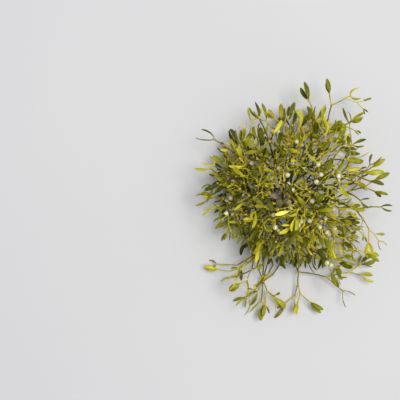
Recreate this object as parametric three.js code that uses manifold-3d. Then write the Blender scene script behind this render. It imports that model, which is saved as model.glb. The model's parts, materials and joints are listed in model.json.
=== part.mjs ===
// A bunch of mistletoe, cut from its host and lying on a table. A short woody base carries limbs
// that fork in twos. Every last shoot ends in a pair of leathery leaves, and white berries sit in
// the outer forks.
// Millimetres, +Z up. The origin is on the table, under the middle of the bunch.
//
// The plant is grown: each limb starts at a knuckle of the base, and each shoot forks into two more
// until it leaves the crown. A shoot, a berry or a leaf only grows where there is room, so no two
// pieces of the bunch touch.

import * as THREE from "three";
import Module from "manifold-3d";
import { mergeVertices } from "three/addons/utils/BufferGeometryUtils.js";

// ---- Driving dimensions, in millimetres and degrees ----

const HUB_HEIGHT = 74; // middle of the woody base above the table
const CROWN_TOP = 226; // height that no shoot or leaf passes
const GAP = 0.3; // clear space between two pieces that touch in the real bunch
const SEED = 12;

// How far the thick of the crown reaches from the hub, seen from above, every 15 degrees
// anticlockwise from +X.
const REACH = [
  168, 176, 184, 182, 172, 158, 152, 148, 140, 126, 114, 104,
  100, 96, 94, 100, 106, 114, 122, 130, 146, 164, 172, 170,
];
// How far limbs with a leader reach, every 45 degrees.
const SPRAY_REACH = [212, 244, 196, 164, 138, 178, 222, 238];
// The crown is open over the cut end: a funnel around an upright line, measured from the hub.
const OPENING = { at: [2, 3], start: 12, radius: 6, widening: 0.05 };

// By generation, the oldest first. A limb with less room above it grows all its shoots shorter.
const SHOOT_LENGTH = [35, 32, 29, 26, 23, 20, 18];
const SHOOT_RADIUS = [2.2, 1.8, 1.5, 1.3, 1.15, 1.08, 1.02, 1];
const GENERATIONS = { low: 6, high: 7 }; // low limbs fork less often than the ones above them
const HIGH_CLIMB = 18;
const MISSING_SHOOT = 0.06; // share of the forks that have lost one shoot, at the hub
const MISSING_SPRAY_SHOOT = 0.26; // the same on a limb with a leader
const MISSING_AT_EDGE = 0.5; // how much that share grows towards the crown's outline
const LENGTH_SPREAD = 0.28; // a shoot is up to this share longer or shorter
const FULL_REACH = 200; // a limb with this much room ahead of it grows at full length
const LEAST_VIGOUR = 0.56; // share of the full length that the most crowded limb grows
const FORK_ANGLE = [46, 86]; // between the two shoots of a fork
const LEAST_PARTING = 0.12; // how far a shoot turns to its own side of a fork, as a share of its length
const FORK_TURN = [62, 118]; // from one fork's plane to the next
const OUTWARD_PULL = 0.1; // how strongly a shoot turns away from the hub
const FIRST_FORK_TURN = [40, 140]; // of a limb's first fork, from the upright plane
const SHOOT_TRIES = 8;
const ROOT_TRIES = 30;
const ROOT_STRAY = 40; // how far from its own heading a limb may start at its last try
const LEAF_ROOM = 20; // between a shoot's end and the crown's outline, for its leaves

const LEAF_LENGTH = [22, 34];
const LEAF_WIDTH = 0.3; // share of the leaf's length
const LEAF_THICKNESS = 1.4;
const LEAF_SPLAY = [34, 66]; // between the leaf's foot and its shoot
const LEAF_CURL = [30, 95]; // how far the blade turns back towards the shoot's line
const LEAF_ROLL = 30; // turn of the blade about its own line, either way
const LEAF_TRIES = 8;
const LEAF_STATIONS = [
  { along: 0.38, width: 0.82, thickness: 1 },
  { along: 0.76, width: 0.92, thickness: 0.8 },
];

const BERRY_RADIUS = 4.2;
const BERRY_COUNT = 30;
const BERRY_REACH = [7.2, 9.4]; // from the fork to the berry's centre
const BERRY_SHARE = 0.3; // of the forks that could hold berries
const BERRY_LEAN = { ahead: 0.62, across: 0.78 }; // of a berry's stalk from its fork

// The woody base: knuckles joined by short thick stems, all measured from the hub.
const KNUCKLES = {
  middle: { at: [7, 0, -1], radius: 7.6 },
  outer: { at: [30, 3, -1], radius: 8.4 },
  lower: { at: [17, -12, -15], radius: 8 },
  upper: { at: [18, 10, 14], radius: 7.4 },
};
const STEMS = [
  { from: "middle", to: "outer", radius: 6 },
  { from: "middle", to: "lower", radius: 5.2 },
  { from: "middle", to: "upper", radius: 5.2 },
];
const CUT_END = { from: "middle", at: [-11, 4, 5], radius: 5.6 };
const STEM_SIDES = 14;

// Each limb leaves its knuckle on a bearing, anticlockwise from +X seen from above, at a climb above
// level. A limb with a leader follows these nodes first, measured from the hub, and forks away from
// them.
const LIMBS = [
  { knuckle: "outer", leader: [[46, 38, 26], [63, 79, 38], [89, 110, 42], [98, 152, 36], [122, 164, 32]] },
  {
    knuckle: "lower",
    leader: [
      [32, -48, -24], [37, -92, -36], [52, -134, -42],
      [101, -143, -45], [141, -134, -42], [161, -119, -36],
    ],
  },
  { knuckle: "lower", leader: [[8, -56, -26], [2, -102, -40], [-10, -146, -50], [-13, -186, -52]] },
  { knuckle: "middle", leader: [[-8, -44, -6], [-18, -90, -20], [-22, -124, -34], [-54, -140, -40]] },
  { knuckle: "middle", leader: [[-33, 30, 22], [-50, 62, 32], [-82, 84, 38]] },
  { knuckle: "middle", leader: [[-36, 10, 16], [-68, 20, 26], [-98, 4, 30]] },
  { knuckle: "upper", leader: [[6, 46, 40], [-8, 88, 62], [-26, 126, 74]] },
  { knuckle: "outer", leader: [[68, 18, 20], [104, 36, 36], [138, 34, 44], [163, 48, 50]] },
  { knuckle: "outer", leader: [[70, -12, 6], [106, -6, 14], [140, -22, 22], [166, -18, 30]] },

  { knuckle: "outer", bearing: 332, climb: -18 },
  { knuckle: "outer", bearing: 26, climb: -20 },
  { knuckle: "outer", bearing: 76, climb: 0 },
  { knuckle: "outer", bearing: 304, climb: 4 },
  { knuckle: "outer", bearing: 20, climb: 46 },
  { knuckle: "outer", bearing: 328, climb: 42 },
  { knuckle: "outer", bearing: 282, climb: 30 },

  { knuckle: "middle", bearing: 96, climb: 4 },
  { knuckle: "middle", bearing: 222, climb: 8 },
  { knuckle: "middle", bearing: 262, climb: 40 },
  { knuckle: "middle", bearing: 222, climb: 48 },
  { knuckle: "middle", bearing: 150, climb: 62 },
  { knuckle: "middle", bearing: 122, climb: 34 },
  { knuckle: "middle", bearing: 186, climb: 50 },

  { knuckle: "lower", bearing: 60, climb: -34 },
  { knuckle: "lower", bearing: 160, climb: -24 },
  { knuckle: "lower", bearing: 210, climb: -18 },

  { knuckle: "upper", bearing: 90, climb: 20 },
  { knuckle: "upper", bearing: 156, climb: 36 },
  { knuckle: "upper", bearing: 66, climb: 42 },
  { knuckle: "upper", bearing: 124, climb: 58 },
  { knuckle: "upper", bearing: 0, climb: 66 },
  { knuckle: "upper", bearing: 276, climb: 64 },
  { knuckle: "upper", bearing: 190, climb: 22 },
  { knuckle: "upper", bearing: 74, climb: 62 },
];

const RAD = Math.PI / 180;
const UP = new THREE.Vector3(0, 0, 1);

// ---- Small helpers ----

// Evenly spread numbers from 0 to 1, always the same ones for the same seed.
function drawsFrom(seed) {
  let state = seed;
  return () => {
    state = (state * 1664525 + 1013904223) % 4294967296;
    return state / 4294967296;
  };
}

const draw = drawsFrom(SEED);
const between = ([low, high]) => low + (high - low) * draw();

const towards = (bearing, climb) =>
  new THREE.Vector3(
    Math.cos(bearing * RAD) * Math.cos(climb * RAD),
    Math.sin(bearing * RAD) * Math.cos(climb * RAD),
    Math.sin(climb * RAD),
  );

const along = (from, direction, distance) => from.clone().addScaledVector(direction, distance);

// The part of a vector that is square to the heading, at length 1.
function squareTo(heading, vector) {
  return vector.clone().addScaledVector(heading, -vector.dot(heading)).normalize();
}

// ---- Room: the space that is already taken, as balls in a grid of cells ----

const CELL = 8;
const REACH_IN_CELLS = 2; // how far away two balls can still touch
const BASE = -1; // stands for the woody base where a ball's limb is named
const SHOOT_STEP = 3; // between the balls along a shoot
const SHOOT_MARGIN = 0.6; // added to a shoot's radius
const LEAF_BALL = 2;
const LEAF_ROWS = 8;
const FORK_JOIN = 9; // pieces that share a fork are let off within this distance of it
const FOOT_JOIN = 4; // the same for a limb's foot, beside its knuckle

const taken = new Map();
const cellOf = (value) => Math.floor(value / CELL);

// Balls of a limb are let off near the place where they start, from their own limb and from the base.
function isClear(balls, start, letOff, limb) {
  return balls.every(({ at, radius }) => {
    const isNear = at.distanceTo(start) < letOff;
    for (let i = cellOf(at.x) - REACH_IN_CELLS; i <= cellOf(at.x) + REACH_IN_CELLS; i++)
      for (let j = cellOf(at.y) - REACH_IN_CELLS; j <= cellOf(at.y) + REACH_IN_CELLS; j++)
        for (let k = cellOf(at.z) - REACH_IN_CELLS; k <= cellOf(at.z) + REACH_IN_CELLS; k++)
          for (const other of taken.get(`${i},${j},${k}`) ?? []) {
            if (isNear && (other.limb === limb || other.limb === BASE)) continue;
            if (at.distanceTo(other.at) < radius + other.radius + GAP) return false;
          }
    return true;
  });
}

function take(balls, limb) {
  for (const { at, radius } of balls) {
    const cell = `${cellOf(at.x)},${cellOf(at.y)},${cellOf(at.z)}`;
    if (!taken.has(cell)) taken.set(cell, []);
    taken.get(cell).push({ at, radius, limb });
  }
}

function shootBalls(start, end, radius) {
  const steps = Math.ceil(start.distanceTo(end) / SHOOT_STEP);
  return Array.from({ length: steps + 1 }, (_, i) => ({
    at: start.clone().lerp(end, i / steps),
    radius: radius + SHOOT_MARGIN,
  }));
}

// ---- The crown ----

const hub = new THREE.Vector3(0, 0, HUB_HEIGHT);
const fromHub = (offset) => new THREE.Vector3(...offset).add(hub);

// An outline's reach at a bearing, between the two given bearings beside it.
function reachAt(outline, bearing) {
  const place = (((bearing % 360) + 360) % 360) / (360 / outline.length);
  const low = Math.floor(place) % outline.length;
  const high = (low + 1) % outline.length;
  return THREE.MathUtils.lerp(outline[low], outline[high], place - Math.floor(place));
}

// How far out a point is, with a margin around it, as a share of the crown's reach that way.
function shareOfReach(point, margin, limb) {
  const x = point.x - hub.x;
  const y = point.y - hub.y;
  const outline = LIMBS[limb].leader ? SPRAY_REACH : REACH;
  return (Math.hypot(x, y) + margin) / reachAt(outline, Math.atan2(y, x) / RAD);
}

// Whether a point, with a margin around it, is inside the crown's outline and under its domed top.
function isInCrown(point, margin, limb) {
  const share = shareOfReach(point, margin, limb);
  return share < 1 && point.z + margin < CROWN_TOP * Math.sqrt(1 - 0.72 * share * share);
}

// Whether a ball is in the funnel over the cut end, which stays clear.
function isInOpening({ at, radius }) {
  const height = at.z - hub.z - OPENING.start;
  if (height < 0) return false;
  const distance = Math.hypot(at.x - hub.x - OPENING.at[0], at.y - hub.y - OPENING.at[1]);
  return distance - radius < OPENING.radius + OPENING.widening * height;
}

// ---- Growth ----

// A shoot runs from start to end. Its two children, or its two leaves, part towards +side and -side,
// and each says by its way, 1 or -1, which of the two it is.
function makeRoot(limb, start, heading, side) {
  const vigour = vigourAlong(limb, heading);
  return { limb, start, heading, side, generation: 0, vigour, children: [], leaves: [] };
}

function makeShoot(limb, parent, way, heading, side) {
  const { end: start, vigour } = parent;
  const generation = parent.generation + 1;
  return { limb, parent, way, start, heading, side, generation, vigour, children: [], leaves: [] };
}

// How long a limb's shoots grow, from the room between the hub and the crown's outline along its heading.
function vigourAlong(limb, heading) {
  let distance = 0;
  while (isInCrown(along(hub, heading, distance), 0, limb) && distance < FULL_REACH) distance += 5;
  return Math.max(LEAST_VIGOUR, distance / FULL_REACH);
}

function growTo(shoot, end, balls) {
  take(balls, shoot.limb);
  shoot.end = end;
  shoot.heading = end.clone().sub(shoot.start).normalize();
  shoot.side = squareTo(shoot.heading, shoot.side);
}

function growShoot(shoot) {
  const radius = SHOOT_RADIUS[shoot.generation];
  const spread = 1 + LENGTH_SPREAD * (2 * draw() - 1);
  const outward = shoot.start.clone().sub(hub).normalize();
  const heading = shoot.heading.clone().addScaledVector(outward, OUTWARD_PULL).normalize();
  const end = along(shoot.start, heading, SHOOT_LENGTH[shoot.generation] * shoot.vigour * spread);
  if (end.z < radius + 2) return false;
  // A shoot of a fork keeps to its own side of it.
  if (shoot.parent) {
    const run = end.clone().sub(shoot.start).normalize();
    if (run.dot(shoot.parent.side) * shoot.way < LEAST_PARTING) return false;
  }
  const balls = shootBalls(shoot.start, end, radius);
  const join = shoot.parent ? FORK_JOIN : FOOT_JOIN;
  if (!isInCrown(end, LEAF_ROOM, shoot.limb) || balls.some(isInOpening)) return false;
  if (!isClear(balls, shoot.start, join, shoot.limb)) return false;
  growTo(shoot, end, balls);
  return true;
}

// A side for the fork at a shoot's end, turned from the fork that it grew from.
function turnedSide(parent, heading) {
  return squareTo(heading, parent.side.clone().applyAxisAngle(parent.heading, between(FORK_TURN) * RAD));
}

// A leader's shoots follow its nodes, and each fork opens towards the next node.
function growLeader(root, nodes) {
  let shoot = root;
  nodes.forEach((node, step) => {
    const end = fromHub(node);
    if (step > 0) {
      const heading = end.clone().sub(shoot.end).normalize();
      shoot.side = squareTo(shoot.heading, heading);
      const child = makeShoot(shoot.limb, shoot, 1, heading, turnedSide(shoot, heading));
      shoot.children.push(child);
      shoot = child;
    }
    growTo(shoot, end, shootBalls(shoot.start, end, SHOOT_RADIUS[step]));
  });
}

// Two children part from the shoot's end. Each turns by half the fork's angle, and its own fork is
// turned from this one. Further out, more forks have lost one of the two.
function forkShoot(shoot) {
  const ways = shoot.children.length ? [-1] : [1, -1];
  const share = shareOfReach(shoot.end, LEAF_ROOM, shoot.limb);
  const atHub = LIMBS[shoot.limb].leader ? MISSING_SPRAY_SHOOT : MISSING_SHOOT;
  const missing = atHub + MISSING_AT_EDGE * share * share;
  if (ways.length === 2 && draw() < missing) ways.pop();
  for (const way of ways) {
    for (let attempt = 0; attempt < SHOOT_TRIES; attempt++) {
      const half = (between(FORK_ANGLE) / 2) * RAD;
      const out = shoot.side.clone().multiplyScalar(way * Math.sin(half));
      const heading = out.addScaledVector(shoot.heading, Math.cos(half));
      const side = turnedSide(shoot, heading);
      const child = makeShoot(shoot.limb, shoot, way, heading, side);
      if (growShoot(child)) {
        shoot.children.push(child);
        break;
      }
    }
  }
}

// ---- Berries: one or two at a last fork, square to the plane of its shoots ----

const berries = [];

function growBerries(shoot) {
  if (draw() > BERRY_SHARE) return;
  const across = shoot.heading.clone().cross(shoot.side);
  for (const way of [1, -1]) {
    const lean = shoot.heading.clone().multiplyScalar(BERRY_LEAN.ahead);
    lean.addScaledVector(across, BERRY_LEAN.across * way).normalize();
    const at = along(shoot.end, lean, between(BERRY_REACH));
    const ball = { at, radius: BERRY_RADIUS };
    if (berries.length < BERRY_COUNT && isClear([ball], shoot.end, 0, shoot.limb)) {
      take([ball], shoot.limb);
      berries.push(at);
    }
  }
}

// ---- Leaves ----

// The blade's middle line turns back at an even rate from the splayed foot, in the plane of heading and side.
function shapeLeaf(shoot, way, length) {
  const splay = between(LEAF_SPLAY) * RAD;
  const curl = between(LEAF_CURL) * RAD;
  const roll = LEAF_ROLL * RAD * (2 * draw() - 1);
  const out = shoot.side.clone().multiplyScalar(way);
  const across = shoot.heading.clone().cross(shoot.side);
  const station = (share) => {
    // The middle line is an arc: its chord to this share points half way between the two tangents.
    const half = (curl * share) / 2;
    const angle = splay - half;
    const chord = (length * share * Math.sin(half)) / half;
    const at = shoot.end
      .clone()
      .addScaledVector(shoot.heading, chord * Math.cos(angle))
      .addScaledVector(out, chord * Math.sin(angle));
    const tangentAngle = splay - curl * share;
    const tangent = shoot.heading
      .clone()
      .multiplyScalar(Math.cos(tangentAngle))
      .addScaledVector(out, Math.sin(tangentAngle));
    const wide = across.clone().applyAxisAngle(tangent, roll * share);
    return { at, tangent, wide };
  };
  const balls = [];
  for (let row = 1; row <= LEAF_ROWS; row++) {
    const { at, wide } = station(row / LEAF_ROWS);
    const half = (length * LEAF_WIDTH) / 2 - LEAF_BALL;
    for (const share of row === LEAF_ROWS ? [0] : [-1, 0, 1])
      balls.push({ at: along(at, wide, half * share), radius: LEAF_BALL });
  }
  return { shoot, way, length, station, balls };
}

function growLeaves(shoot) {
  for (const way of [1, -1]) {
    const full = between(LEAF_LENGTH);
    for (let attempt = 0; attempt < LEAF_TRIES; attempt++) {
      const leaf = shapeLeaf(shoot, way, full * (1 - 0.05 * attempt));
      const fits = leaf.balls.every(
        (ball) => ball.at.z > ball.radius && ball.at.z < CROWN_TOP && !isInOpening(ball),
      );
      if (fits && isClear(leaf.balls, shoot.end, FORK_JOIN - 2, shoot.limb)) {
        take(leaf.balls, shoot.limb);
        shoot.leaves.push(leaf);
        break;
      }
    }
  }
}

// ---- Growing the whole bunch, generation by generation ----

const knuckleCentre = (name) => fromHub(KNUCKLES[name].at);

// The stems that join the knuckles, and the one that was cut.
function baseStems() {
  const joined = STEMS.map(({ from, to, radius }) => {
    return { start: knuckleCentre(from), end: knuckleCentre(to), radius };
  });
  const { from, at, radius } = CUT_END;
  return [...joined, { start: knuckleCentre(from), end: fromHub(at), radius }];
}

// A limb's foot stands on its knuckle, or further out where a stem of the base is in the way.
function limbStart(knuckle, heading, side) {
  const across = heading.clone().cross(side);
  let start = along(knuckleCentre(knuckle), heading, KNUCKLES[knuckle].radius + GAP);
  const foot = () => {
    const ring = ringAt(start, side, across, SHOOT_RADIUS[0], SHOOT_RADIUS[0]);
    return ring.map((at) => ({ at, radius: 0 }));
  };
  while (!isClear(foot(), hub, 0, BASE)) start = along(start, heading, 0.5);
  return start;
}

// The first shoot of a limb. One with no leader tries headings around its own until there is room.
function startLimb(limb) {
  const { knuckle, bearing, climb, leader } = LIMBS[limb];
  for (let attempt = 0; attempt < ROOT_TRIES; attempt++) {
    const stray = (ROOT_STRAY * attempt) / ROOT_TRIES;
    const aside = stray * (2 * draw() - 1);
    const above = stray * (2 * draw() - 1);
    const centre = knuckleCentre(knuckle);
    const heading = leader
      ? fromHub(leader[0]).sub(centre).normalize()
      : towards(bearing + aside, climb + above);
    const side = squareTo(heading, UP).applyAxisAngle(heading, between(FIRST_FORK_TURN) * RAD);
    const root = makeRoot(limb, limbStart(knuckle, heading, side), heading, side);
    if (leader) growLeader(root, leader);
    if (leader || growShoot(root)) return root;
  }
  return null;
}

function isForking({ limb, generation, children }) {
  const generations = LIMBS[limb].climb > HIGH_CLIMB ? GENERATIONS.high : GENERATIONS.low;
  return children.length > 0 || generation + 1 < generations;
}

function growBunch() {
  for (const { at, radius } of Object.values(KNUCKLES)) take([{ at: fromHub(at), radius }], BASE);
  for (const { start, end, radius } of baseStems()) take(shootBalls(start, end, radius), BASE);

  const roots = LIMBS.map((_, limb) => startLimb(limb)).filter((root) => root);
  const all = [];
  let youngest = roots;
  while (youngest.length) {
    all.push(...youngest);
    youngest.filter(isForking).forEach(forkShoot);
    youngest = youngest.flatMap(({ children }) => children);
  }
  const tips = all.filter(({ children }) => children.length === 0);
  const lastForks = all.filter(
    ({ children, end }) =>
      children.length === 2 && end.z > HUB_HEIGHT && children.some((child) => tips.includes(child)),
  );
  lastForks.forEach(growBerries);
  tips.forEach(growLeaves);
  return roots;
}

// ---- Skins: every limb is one closed surface, with four-sided shoots that part at each fork ----

// A ring of four points in the order +side, +across, -side, -across, anticlockwise seen from ahead.
function ringAt(centre, side, across, halfSide, halfAcross) {
  return [
    along(centre, side, halfSide),
    along(centre, across, halfAcross),
    along(centre, side, -halfSide),
    along(centre, across, -halfAcross),
  ];
}

class Skin {
  triangles = [];

  face(...points) {
    for (const point of points) this.triangles.push(point.x, point.y, point.z);
  }

  tube(from, to) {
    for (let i = 0; i < 4; i++) {
      const j = (i + 1) % 4;
      this.face(from[i], from[j], to[j]);
      this.face(from[i], to[j], to[i]);
    }
  }

  fan(ring, tip) {
    for (let i = 0; i < 4; i++) this.face(ring[i], ring[(i + 1) % 4], tip);
  }

  geometry() {
    const flat = new THREE.BufferGeometry();
    flat.setAttribute("position", new THREE.Float32BufferAttribute(this.triangles, 3));
    const merged = mergeVertices(flat, 1e-4);
    merged.computeVertexNormals();
    return merged;
  }
}

// The end ring's points in the order that best follows the start ring, so that the tube doesn't twist.
function alignRing(start, end) {
  const middle = (ring) => ring[0].clone().add(ring[1]).add(ring[2]).add(ring[3]).multiplyScalar(0.25);
  const startMiddle = middle(start);
  const endMiddle = middle(end);
  let best = null;
  for (let shift = 0; shift < 4; shift++) {
    const turned = end.map((_, i) => end[(i + shift) % 4]);
    const match = turned.reduce(
      (sum, point, i) => sum + point.clone().sub(endMiddle).dot(start[i].clone().sub(startMiddle)),
      0,
    );
    if (!best || match > best.match) best = { turned, match };
  }
  return best.turned;
}

function skinLeaf(skin, leaf, foot) {
  let last = foot;
  for (const { along: share, width, thickness } of LEAF_STATIONS) {
    const { at, tangent, wide } = leaf.station(share);
    // The blade's lower face looks away from the shoot's line, towards +side on one leaf of a pair
    // and towards -side on the other.
    const under = wide.clone().cross(tangent).multiplyScalar(leaf.way);
    const ring = ringAt(
      at,
      under,
      wide.clone().multiplyScalar(leaf.way),
      (LEAF_THICKNESS * thickness) / 2,
      (leaf.length * LEAF_WIDTH * width) / 2,
    );
    skin.tube(last, ring);
    last = ring;
  }
  skin.fan(last, leaf.station(1).at);
}

function skinShoot(skin, shoot, foot) {
  const across = shoot.heading.clone().cross(shoot.side);
  const radius = SHOOT_RADIUS[shoot.generation + 1] * 1.12;
  const ring = ringAt(shoot.end, shoot.side, across, radius, radius);
  skin.tube(foot, alignRing(foot, ring));
  const parts = [...shoot.children, ...shoot.leaves];
  const crotch = along(shoot.end, shoot.heading, radius * 0.7);
  const [side, front, back, rear] = ring;
  if (!parts.length) skin.fan(ring, crotch);
  for (const part of parts) {
    // One of a pair starts from its own half of the ring and the crotch. A single part starts from
    // the whole ring.
    const nearSide = part.way === 1 ? [side, front, rear] : [back, rear, front];
    const farSide = parts.length === 2 ? crotch : part.way === 1 ? back : side;
    const ownFoot = [nearSide[0], nearSide[1], farSide, nearSide[2]];
    if (part.shoot) skinLeaf(skin, part, ownFoot);
    else skinShoot(skin, part, ownFoot);
  }
}

function limbGeometry(root) {
  const skin = new Skin();
  const across = root.heading.clone().cross(root.side);
  const radius = SHOOT_RADIUS[0];
  const foot = ringAt(root.start, root.side, across, radius, radius);
  skin.face(foot[0], foot[2], foot[1]);
  skin.face(foot[0], foot[3], foot[2]);
  skinShoot(skin, root, foot);
  return skin.geometry();
}

// ---- The woody base, joined from its knuckles and stems ----

const wasm = await Module();
wasm.setup();

function solidOf(geometry, matrix) {
  const bare = new THREE.BufferGeometry();
  const source = geometry.index ? geometry.toNonIndexed() : geometry;
  bare.setAttribute("position", source.getAttribute("position").clone());
  bare.applyMatrix4(matrix);
  const merged = mergeVertices(bare, 1e-4);
  return new wasm.Manifold(
    new wasm.Mesh({
      numProp: 3,
      vertProperties: merged.attributes.position.array,
      triVerts: new Uint32Array(merged.index.array),
    }),
  );
}

function geometryOf(solid) {
  const mesh = solid.getMesh();
  const geometry = new THREE.BufferGeometry();
  geometry.setAttribute("position", new THREE.BufferAttribute(mesh.vertProperties, 3));
  geometry.setIndex(new THREE.BufferAttribute(mesh.triVerts, 1));
  geometry.computeVertexNormals();
  return geometry;
}

function stemSolid({ start, end, radius }) {
  const direction = end.clone().sub(start).normalize();
  const turn = new THREE.Quaternion().setFromUnitVectors(new THREE.Vector3(0, 1, 0), direction);
  const place = new THREE.Matrix4().compose(start.clone().lerp(end, 0.5), turn, new THREE.Vector3(1, 1, 1));
  return solidOf(new THREE.CylinderGeometry(radius, radius, start.distanceTo(end), STEM_SIDES, 1), place);
}

function woodyBase() {
  const knuckles = Object.values(KNUCKLES).map(({ at, radius }) =>
    solidOf(new THREE.IcosahedronGeometry(radius, 2), new THREE.Matrix4().setPosition(fromHub(at))),
  );
  return geometryOf([...knuckles, ...baseStems().map(stemSolid)].reduce((whole, piece) => whole.add(piece)));
}

// ---- Assembly ----

const matte = (color, roughness) => new THREE.MeshStandardMaterial({ color, roughness, metalness: 0 });
const bark = matte(0x8c8264, 0.85);
const green = matte(0x7d8420, 0.55);
const pearl = matte(0xe8e6cf, 0.35);

const bunch = new THREE.Group();

function addPiece(name, geometry, material) {
  const mesh = new THREE.Mesh(geometry, material);
  mesh.name = name;
  bunch.add(mesh);
  return mesh;
}

const numbered = (word, index) => `${word}_${String(index + 1).padStart(2, "0")}`;

const roots = growBunch();
addPiece("woody_base", woodyBase(), bark);
roots.forEach((root, i) => addPiece(numbered("limb", i), limbGeometry(root), green));
berries.forEach((at, i) => {
  const berry = addPiece(numbered("berry", i), new THREE.SphereGeometry(BERRY_RADIUS, 8, 4), pearl);
  berry.position.copy(at);
});

// The origin goes under the middle of the bunch, on the table.
const box = new THREE.Box3().setFromObject(bunch, true);
const middleOfBox = box.getCenter(new THREE.Vector3());
bunch.position.set(-middleOfBox.x, -middleOfBox.y, -box.min.z);

export default bunch;
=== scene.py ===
"""A bunch of mistletoe lying on a table: stems, leathery leaves, buds, pearly berries and a woody base.

The bunch is grown by the same rules, in the same order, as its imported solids, so every stem, leaf and berry
lies where its solid lies. Growth is worked out in millimetres from the hub and turned into metres at the end.
"""

import json
import math

import bmesh
import bpy
import numpy as np
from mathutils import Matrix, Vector

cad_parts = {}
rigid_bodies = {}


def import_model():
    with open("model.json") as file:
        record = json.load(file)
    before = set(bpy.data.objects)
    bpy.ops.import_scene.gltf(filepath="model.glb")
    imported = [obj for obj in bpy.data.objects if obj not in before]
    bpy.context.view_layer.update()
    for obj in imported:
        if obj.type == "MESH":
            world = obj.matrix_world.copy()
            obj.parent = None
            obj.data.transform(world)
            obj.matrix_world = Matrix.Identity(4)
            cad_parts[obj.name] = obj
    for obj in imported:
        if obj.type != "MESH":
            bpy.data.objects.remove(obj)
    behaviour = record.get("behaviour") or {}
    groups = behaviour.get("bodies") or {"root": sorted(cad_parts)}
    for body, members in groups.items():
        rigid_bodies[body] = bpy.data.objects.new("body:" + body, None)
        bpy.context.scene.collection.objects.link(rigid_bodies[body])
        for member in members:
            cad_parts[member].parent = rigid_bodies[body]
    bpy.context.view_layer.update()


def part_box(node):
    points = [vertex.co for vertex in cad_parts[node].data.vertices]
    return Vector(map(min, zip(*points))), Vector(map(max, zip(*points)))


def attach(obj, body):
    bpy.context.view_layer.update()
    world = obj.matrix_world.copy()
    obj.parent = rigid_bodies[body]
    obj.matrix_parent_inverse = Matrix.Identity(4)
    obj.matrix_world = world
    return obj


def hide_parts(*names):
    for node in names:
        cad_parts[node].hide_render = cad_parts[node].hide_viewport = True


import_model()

RAD = math.pi / 180
MM = 0.001

# ---- growth rules, as in the solids

HUB_HEIGHT = 74
CROWN_TOP = 226
DOME_FALL = 0.72  # of the square of the crown's height, lost at its rim
GAP = 0.3
SEED = 12

REACH = [
    168, 176, 184, 182, 172, 158, 152, 148, 140, 126, 114, 104,
    100, 96, 94, 100, 106, 114, 122, 130, 146, 164, 172, 170,
]
SPRAY_REACH = [212, 244, 196, 164, 138, 178, 222, 238]
OPENING = {"at": (2, 3), "start": 12, "radius": 6, "widening": 0.05}

SHOOT_LENGTH = [35, 32, 29, 26, 23, 20, 18]
SHOOT_RADIUS = [2.2, 1.8, 1.5, 1.3, 1.15, 1.08, 1.02, 1]
GENERATIONS = {"low": 6, "high": 7}
HIGH_CLIMB = 18
MISSING_SHOOT = 0.06
MISSING_SPRAY_SHOOT = 0.26
MISSING_AT_EDGE = 0.5
LENGTH_SPREAD = 0.28
FULL_REACH = 200
VIGOUR_STEP = 5
LEAST_VIGOUR = 0.56
FORK_ANGLE = (46, 86)
LEAST_PARTING = 0.12
FORK_TURN = (62, 118)
OUTWARD_PULL = 0.1
FIRST_FORK_TURN = (40, 140)
SHOOT_TRIES = 8
ROOT_TRIES = 30
ROOT_STRAY = 40
LEAF_ROOM = 20
SHOOT_LIFT = 2  # least height of a shoot's end over the table, past its radius
START_STEP = 0.5

LEAF_LENGTH = (22, 34)
LEAF_WIDTH = 0.3
LEAF_SPLAY = (34, 66)
LEAF_CURL = (30, 95)
LEAF_ROLL = 30
LEAF_TRIES = 8
LEAF_SHORTENING = 0.05  # of its full length, at each try

BERRY_RADIUS = 4.2
BERRY_COUNT = 30
BERRY_REACH = (7.2, 9.4)
BERRY_SHARE = 0.3
BERRY_LEAN = {"ahead": 0.62, "across": 0.78}

KNUCKLES = {
    "middle": {"at": (7, 0, -1), "radius": 7.6},
    "outer": {"at": (30, 3, -1), "radius": 8.4},
    "lower": {"at": (17, -12, -15), "radius": 8},
    "upper": {"at": (18, 10, 14), "radius": 7.4},
}
STEMS = [("middle", "outer", 6), ("middle", "lower", 5.2), ("middle", "upper", 5.2)]
CUT_END = {"from": "middle", "at": (-11, 4, 5), "radius": 5.6}

# Each limb is (knuckle, bearing, climb), or (knuckle, nodes of its leader).
LIMBS = [
    ("outer", [(46, 38, 26), (63, 79, 38), (89, 110, 42), (98, 152, 36), (122, 164, 32)]),
    (
        "lower",
        [
            (32, -48, -24), (37, -92, -36), (52, -134, -42),
            (101, -143, -45), (141, -134, -42), (161, -119, -36),
        ],
    ),
    ("lower", [(8, -56, -26), (2, -102, -40), (-10, -146, -50), (-13, -186, -52)]),
    ("middle", [(-8, -44, -6), (-18, -90, -20), (-22, -124, -34), (-54, -140, -40)]),
    ("middle", [(-33, 30, 22), (-50, 62, 32), (-82, 84, 38)]),
    ("middle", [(-36, 10, 16), (-68, 20, 26), (-98, 4, 30)]),
    ("upper", [(6, 46, 40), (-8, 88, 62), (-26, 126, 74)]),
    ("outer", [(68, 18, 20), (104, 36, 36), (138, 34, 44), (163, 48, 50)]),
    ("outer", [(70, -12, 6), (106, -6, 14), (140, -22, 22), (166, -18, 30)]),
    ("outer", 332, -18), ("outer", 26, -20), ("outer", 76, 0), ("outer", 304, 4),
    ("outer", 20, 46), ("outer", 328, 42), ("outer", 282, 30),
    ("middle", 96, 4), ("middle", 222, 8), ("middle", 262, 40),
    ("middle", 222, 48), ("middle", 150, 62), ("middle", 122, 34), ("middle", 186, 50),
    ("lower", 60, -34), ("lower", 160, -24), ("lower", 210, -18),
    ("upper", 90, 20), ("upper", 156, 36), ("upper", 66, 42),
    ("upper", 124, 58), ("upper", 0, 66), ("upper", 276, 64), ("upper", 190, 22), ("upper", 74, 62),
]

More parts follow.
